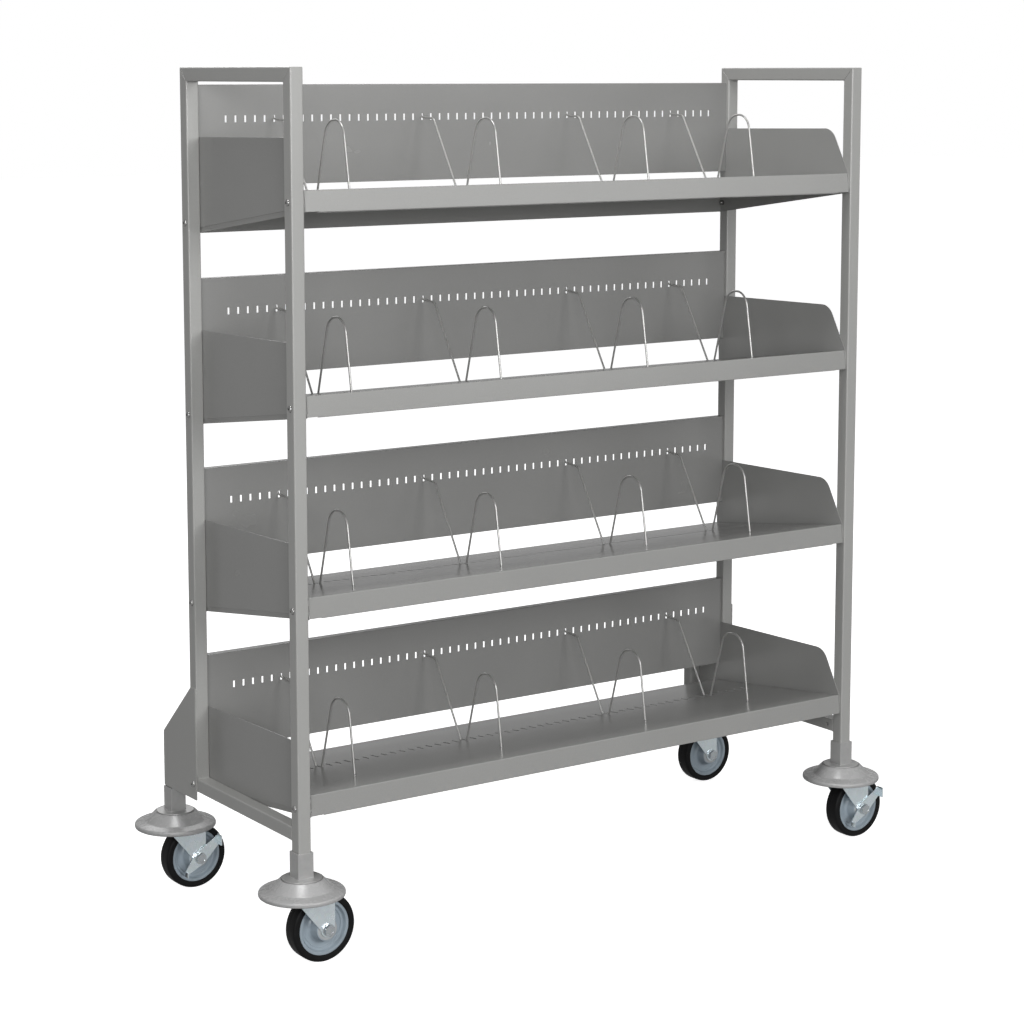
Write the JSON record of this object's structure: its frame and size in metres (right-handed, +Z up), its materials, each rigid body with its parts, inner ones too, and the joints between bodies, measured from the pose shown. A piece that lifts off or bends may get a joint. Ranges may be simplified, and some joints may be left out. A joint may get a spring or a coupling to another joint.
{
  "type": "medical chart rack",
  "caption": "Mobile open rack with tilted, slotted metal shelves and wire dividers between square-tube end frames, on swivel casters with ring bumpers.",
  "frame": {"origin": "on the floor, at the middle of the bounding box in plan, with the casters trailing to +X", "axes": "+X along the shelves, +Y from the open front to the back, +Z up"},
  "size_m": [1.438, 0.64, 1.564],
  "materials": {
    "frame_paint": "silver-grey semi-gloss powder coat",
    "shelf_paint": "grey semi-gloss powder coat",
    "panel_paint": "grey semi-gloss powder coat",
    "divider_wire": "bright zinc-plated wire",
    "bolt_steel": "zinc-plated steel",
    "socket_steel": "silver-grey semi-gloss powder coat",
    "bumper_vinyl": "smooth grey vinyl, slightly glossy",
    "caster_zinc": "bright zinc plating",
    "wheel_nylon": "blue-grey moulded plastic",
    "tyre_rubber": "black rubber"
  },
  "bodies": {
    "rack": {"bottom_back_panel": "panel_paint", "bottom_dividers": "divider_wire", "bottom_shelf": "shelf_paint", "front_left_bumper": "bumper_vinyl", "front_left_caster_socket": "socket_steel", "front_right_bumper": "bumper_vinyl", "front_right_caster_socket": "socket_steel", "kingpins": "caster_zinc", "left_bottom_end_panel": "panel_paint", "left_bottom_rail": "frame_paint", "left_front_post": "frame_paint", "left_lower_end_panel": "panel_paint", "left_outrigger": "frame_paint", "left_rear_post": "frame_paint", "left_top_end_panel": "panel_paint", "left_top_rail": "frame_paint", "left_upper_end_panel": "panel_paint", "lower_back_panel": "panel_paint", "lower_dividers": "divider_wire", "lower_shelf": "shelf_paint", "rear_left_bumper": "bumper_vinyl", "rear_left_caster_socket": "socket_steel", "rear_right_bumper": "bumper_vinyl", "rear_right_caster_socket": "socket_steel", "right_bottom_end_panel": "panel_paint", "right_bottom_rail": "frame_paint", "right_front_post": "frame_paint", "right_lower_end_panel": "panel_paint", "right_outrigger": "frame_paint", "right_rear_post": "frame_paint", "right_top_end_panel": "panel_paint", "right_top_rail": "frame_paint", "right_upper_end_panel": "panel_paint", "shelf_bolts": "bolt_steel", "shelf_nuts": "bolt_steel", "top_back_panel": "panel_paint", "top_dividers": "divider_wire", "top_shelf": "shelf_paint", "upper_back_panel": "panel_paint", "upper_dividers": "divider_wire", "upper_shelf": "shelf_paint"},
    "front_left_caster": {"front_left_fork": "caster_zinc", "front_left_axle": "caster_zinc"},
    "front_left_roller": {"front_left_wheel": "wheel_nylon", "front_left_tyre": "tyre_rubber"},
    "front_right_caster": {"front_right_fork": "caster_zinc", "front_right_axle": "caster_zinc"},
    "front_right_roller": {"front_right_wheel": "wheel_nylon", "front_right_tyre": "tyre_rubber"},
    "front_right_pedal": {"front_right_brake_lever": "caster_zinc"},
    "rear_left_caster": {"rear_left_fork": "caster_zinc", "rear_left_axle": "caster_zinc"},
    "rear_left_roller": {"rear_left_wheel": "wheel_nylon", "rear_left_tyre": "tyre_rubber"},
    "rear_left_pedal": {"rear_left_brake_lever": "caster_zinc"},
    "rear_right_caster": {"rear_right_fork": "caster_zinc", "rear_right_axle": "caster_zinc"},
    "rear_right_roller": {"rear_right_wheel": "wheel_nylon", "rear_right_tyre": "tyre_rubber"}
  },
  "joints": [
    {"name": "front_left_swivel", "type": "hinge", "parent": "rack", "child": "front_left_caster", "pos_m": [-0.64205, -0.243, 0.141], "axis": [0, 0, 1], "continuous": true},
    {"name": "front_left_roll", "type": "hinge", "parent": "front_left_caster", "child": "front_left_roller", "pos_m": [-0.60605, -0.243, 0.0625], "axis": [0, 1, 0], "continuous": true},
    {"name": "front_right_swivel", "type": "hinge", "parent": "rack", "child": "front_right_caster", "pos_m": [0.62055, -0.243, 0.141], "axis": [0, 0, 1], "continuous": true},
    {"name": "front_right_roll", "type": "hinge", "parent": "front_right_caster", "child": "front_right_roller", "pos_m": [0.65655, -0.243, 0.0625], "axis": [0, 1, 0], "continuous": true},
    {"name": "front_right_brake", "type": "hinge", "parent": "front_right_caster", "child": "front_right_pedal", "pos_m": [0.65655, -0.243, 0.0625], "axis": [0, 1, 0], "range_deg": [0, 14]},
    {"name": "rear_left_swivel", "type": "hinge", "parent": "rack", "child": "rear_left_caster", "pos_m": [-0.64205, 0.243, 0.141], "axis": [0, 0, 1], "continuous": true},
    {"name": "rear_left_roll", "type": "hinge", "parent": "rear_left_caster", "child": "rear_left_roller", "pos_m": [-0.60605, 0.243, 0.0625], "axis": [0, 1, 0], "continuous": true},
    {"name": "rear_left_brake", "type": "hinge", "parent": "rear_left_caster", "child": "rear_left_pedal", "pos_m": [-0.60605, 0.243, 0.0625], "axis": [0, 1, 0], "range_deg": [0, 14]},
    {"name": "rear_right_swivel", "type": "hinge", "parent": "rack", "child": "rear_right_caster", "pos_m": [0.62055, 0.243, 0.141], "axis": [0, 0, 1], "continuous": true},
    {"name": "rear_right_roll", "type": "hinge", "parent": "rear_right_caster", "child": "rear_right_roller", "pos_m": [0.65655, 0.243, 0.0625], "axis": [0, 1, 0], "continuous": true}
  ]
}
